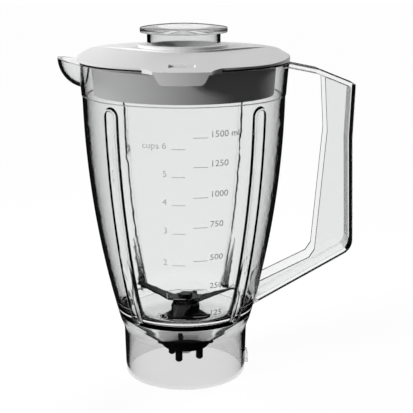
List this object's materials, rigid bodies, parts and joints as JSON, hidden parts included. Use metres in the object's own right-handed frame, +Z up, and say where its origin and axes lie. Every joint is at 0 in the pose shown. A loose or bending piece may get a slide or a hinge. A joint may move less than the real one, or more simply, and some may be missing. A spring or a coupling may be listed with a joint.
{
  "type": "blender jar",
  "caption": "Clear fluted blender jar with a spout, an open channel handle, a bladed drive unit in its floor, a tabbed plug lid and a measuring cap.",
  "frame": {"origin": "centre of the skirt's bottom rim, on the jar's axis", "axes": "+X towards the handle, -Y towards the lid's tab and the volume scale, +Z up along the jar's axis"},
  "size_m": [0.2062, 0.1539, 0.251],
  "materials": {
    "clear_plastic": "gloss",
    "cap_plastic": "gloss",
    "white_plastic": "satin",
    "dark_rubber": "matte",
    "black_plastic": "satin",
    "blade_steel": "brushed",
    "steel": "machined",
    "bronze": "machined"
  },
  "bodies": {
    "jar": {"jar": "clear_plastic", "housing_seal": "dark_rubber", "bearing_housing": "black_plastic", "clamp_nut": "black_plastic", "upper_bush": "bronze", "shaft_seal": "dark_rubber", "lower_bush": "bronze"},
    "blade_drive": {"drive_shaft": "steel", "lower_blade": "blade_steel", "upper_blade": "blade_steel", "thrust_washer": "steel", "blade_spacer": "steel", "lower_washer": "steel", "retaining_clip": "steel", "blade_nut": "blade_steel", "coupling_nut": "steel", "drive_coupling": "black_plastic"},
    "lid": {"lid": "white_plastic", "lid_seal": "dark_rubber"},
    "measuring_cap": {"measuring_cap": "cap_plastic"}
  },
  "joints": [
    {"name": "blade_spin", "type": "hinge", "parent": "jar", "child": "blade_drive", "pos_m": [0, 0, 0.0492], "axis": [0, 0, 1], "continuous": true},
    {"name": "lid_lift", "type": "slide", "parent": "jar", "child": "lid", "axis": [0, 0, 1], "range_m": [0, 0.05]},
    {"name": "cap_lift", "type": "slide", "parent": "lid", "child": "measuring_cap", "axis": [0, 0, 1], "range_m": [0, 0.035]}
  ]
}
